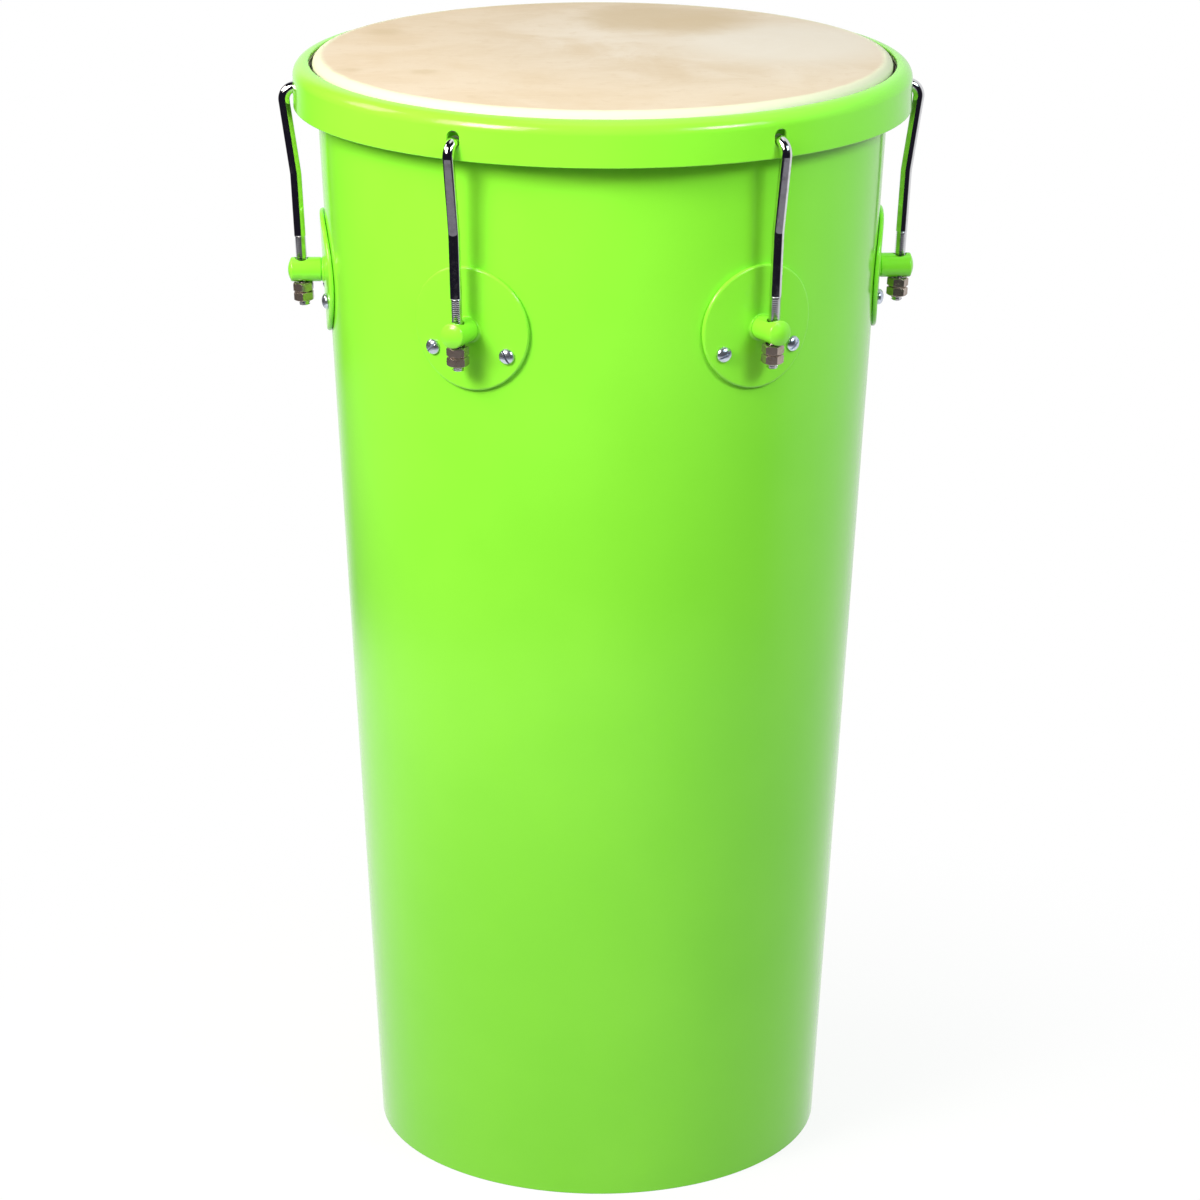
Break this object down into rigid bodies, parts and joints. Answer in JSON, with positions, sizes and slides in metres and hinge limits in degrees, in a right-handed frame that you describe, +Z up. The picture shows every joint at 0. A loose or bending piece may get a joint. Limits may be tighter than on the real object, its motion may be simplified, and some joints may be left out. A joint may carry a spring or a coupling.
{
  "type": "rebolo drum",
  "caption": "Tall tapered steel hand drum with one lapped skin head, an open foot, and a counterhoop drawn down by hooked rods through posts on round plates.",
  "frame": {"origin": "on the floor at the centre of the open foot", "axes": "+Z up along the drum's axis; the first tuning station is towards +X"},
  "size_m": [0.3402, 0.3246, 0.6],
  "materials": {
    "lime_paint": "glossy lime green paint over steel",
    "natural_hide": "dried natural hide, mottled cream",
    "wire_steel": "plain drawn wire",
    "chrome": "bright chrome plate",
    "dark_nickel": "dark nickel plate",
    "zinc": "bluish zinc plate"
  },
  "bodies": {
    "drum": {"shell": "lime_paint", "drumhead": "natural_hide", "flesh_hoop": "wire_steel", "lug_plate_1": "lime_paint", "tension_post_1": "lime_paint", "plate_screw_right_1": "zinc", "plate_screw_left_1": "zinc", "screw_nut_right_1": "zinc", "screw_nut_left_1": "zinc", "lug_plate_2": "lime_paint", "tension_post_2": "lime_paint", "plate_screw_right_2": "zinc", "plate_screw_left_2": "zinc", "screw_nut_right_2": "zinc", "screw_nut_left_2": "zinc", "lug_plate_3": "lime_paint", "tension_post_3": "lime_paint", "plate_screw_right_3": "zinc", "plate_screw_left_3": "zinc", "screw_nut_right_3": "zinc", "screw_nut_left_3": "zinc", "lug_plate_4": "lime_paint", "tension_post_4": "lime_paint", "plate_screw_right_4": "zinc", "plate_screw_left_4": "zinc", "screw_nut_right_4": "zinc", "screw_nut_left_4": "zinc", "lug_plate_5": "lime_paint", "tension_post_5": "lime_paint", "plate_screw_right_5": "zinc", "plate_screw_left_5": "zinc", "screw_nut_right_5": "zinc", "screw_nut_left_5": "zinc", "lug_plate_6": "lime_paint", "tension_post_6": "lime_paint", "plate_screw_right_6": "zinc", "plate_screw_left_6": "zinc", "screw_nut_right_6": "zinc", "screw_nut_left_6": "zinc"},
    "counterhoop": {"counterhoop": "lime_paint"},
    "rod_1": {"hook_rod_1": "chrome"},
    "nuts_1": {"tuning_nut_1": "dark_nickel", "lock_nut_1": "dark_nickel"},
    "rod_2": {"hook_rod_2": "chrome"},
    "nuts_2": {"tuning_nut_2": "dark_nickel", "lock_nut_2": "dark_nickel"},
    "rod_3": {"hook_rod_3": "chrome"},
    "nuts_3": {"tuning_nut_3": "dark_nickel", "lock_nut_3": "dark_nickel"},
    "rod_4": {"hook_rod_4": "chrome"},
    "nuts_4": {"tuning_nut_4": "dark_nickel", "lock_nut_4": "dark_nickel"},
    "rod_5": {"hook_rod_5": "chrome"},
    "nuts_5": {"tuning_nut_5": "dark_nickel", "lock_nut_5": "dark_nickel"},
    "rod_6": {"hook_rod_6": "chrome"},
    "nuts_6": {"tuning_nut_6": "dark_nickel", "lock_nut_6": "dark_nickel"}
  },
  "joints": [
    {"name": "counterhoop_lift", "type": "slide", "parent": "drum", "child": "counterhoop", "axis": [0, 0, 1], "range_m": [0, 0.003]},
    {"name": "nuts_1_turn", "type": "hinge", "parent": "drum", "child": "nuts_1", "pos_m": [0.159, 0, 0.485], "axis": [0.049, 0, 0.9988], "range_deg": [-1080, 0]},
    {"name": "rod_1_travel", "type": "slide", "parent": "drum", "child": "rod_1", "axis": [0.049, 0, 0.9988], "range_m": [0, 0.00301]},
    {"name": "nuts_2_turn", "type": "hinge", "parent": "drum", "child": "nuts_2", "pos_m": [0.0795, 0.1377, 0.485], "axis": [0.0245, 0.0424, 0.9988], "range_deg": [-1080, 0]},
    {"name": "rod_2_travel", "type": "slide", "parent": "drum", "child": "rod_2", "axis": [0.0245, 0.0424, 0.9988], "range_m": [0, 0.00301]},
    {"name": "nuts_3_turn", "type": "hinge", "parent": "drum", "child": "nuts_3", "pos_m": [-0.0795, 0.1377, 0.485], "axis": [-0.0245, 0.0424, 0.9988], "range_deg": [-1080, 0]},
    {"name": "rod_3_travel", "type": "slide", "parent": "drum", "child": "rod_3", "axis": [-0.0245, 0.0424, 0.9988], "range_m": [0, 0.00301]},
    {"name": "nuts_4_turn", "type": "hinge", "parent": "drum", "child": "nuts_4", "pos_m": [-0.159, 0, 0.485], "axis": [-0.049, 0, 0.9988], "range_deg": [-1080, 0]},
    {"name": "rod_4_travel", "type": "slide", "parent": "drum", "child": "rod_4", "axis": [-0.049, 0, 0.9988], "range_m": [0, 0.00301]},
    {"name": "nuts_5_turn", "type": "hinge", "parent": "drum", "child": "nuts_5", "pos_m": [-0.0795, -0.1377, 0.485], "axis": [-0.0245, -0.0424, 0.9988], "range_deg": [-1080, 0]},
    {"name": "rod_5_travel", "type": "slide", "parent": "drum", "child": "rod_5", "axis": [-0.0245, -0.0424, 0.9988], "range_m": [0, 0.00301]},
    {"name": "nuts_6_turn", "type": "hinge", "parent": "drum", "child": "nuts_6", "pos_m": [0.0795, -0.1377, 0.485], "axis": [0.0245, -0.0424, 0.9988], "range_deg": [-1080, 0]},
    {"name": "rod_6_travel", "type": "slide", "parent": "drum", "child": "rod_6", "axis": [0.0245, -0.0424, 0.9988], "range_m": [0, 0.00301]}
  ],
  "couplings": [
    {"joint": "nuts_1_turn", "follows": "counterhoop_lift", "rad_per_m": -6290.7},
    {"joint": "rod_1_travel", "follows": "counterhoop_lift", "ratio": 1.0012},
    {"joint": "nuts_2_turn", "follows": "counterhoop_lift", "rad_per_m": -6290.7},
    {"joint": "rod_2_travel", "follows": "counterhoop_lift", "ratio": 1.0012},
    {"joint": "nuts_3_turn", "follows": "counterhoop_lift", "rad_per_m": -6290.7},
    {"joint": "rod_3_travel", "follows": "counterhoop_lift", "ratio": 1.0012},
    {"joint": "nuts_4_turn", "follows": "counterhoop_lift", "rad_per_m": -6290.7},
    {"joint": "rod_4_travel", "follows": "counterhoop_lift", "ratio": 1.0012},
    {"joint": "nuts_5_turn", "follows": "counterhoop_lift", "rad_per_m": -6290.7},
    {"joint": "rod_5_travel", "follows": "counterhoop_lift", "ratio": 1.0012},
    {"joint": "nuts_6_turn", "follows": "counterhoop_lift", "rad_per_m": -6290.7},
    {"joint": "rod_6_travel", "follows": "counterhoop_lift", "ratio": 1.0012}
  ]
}
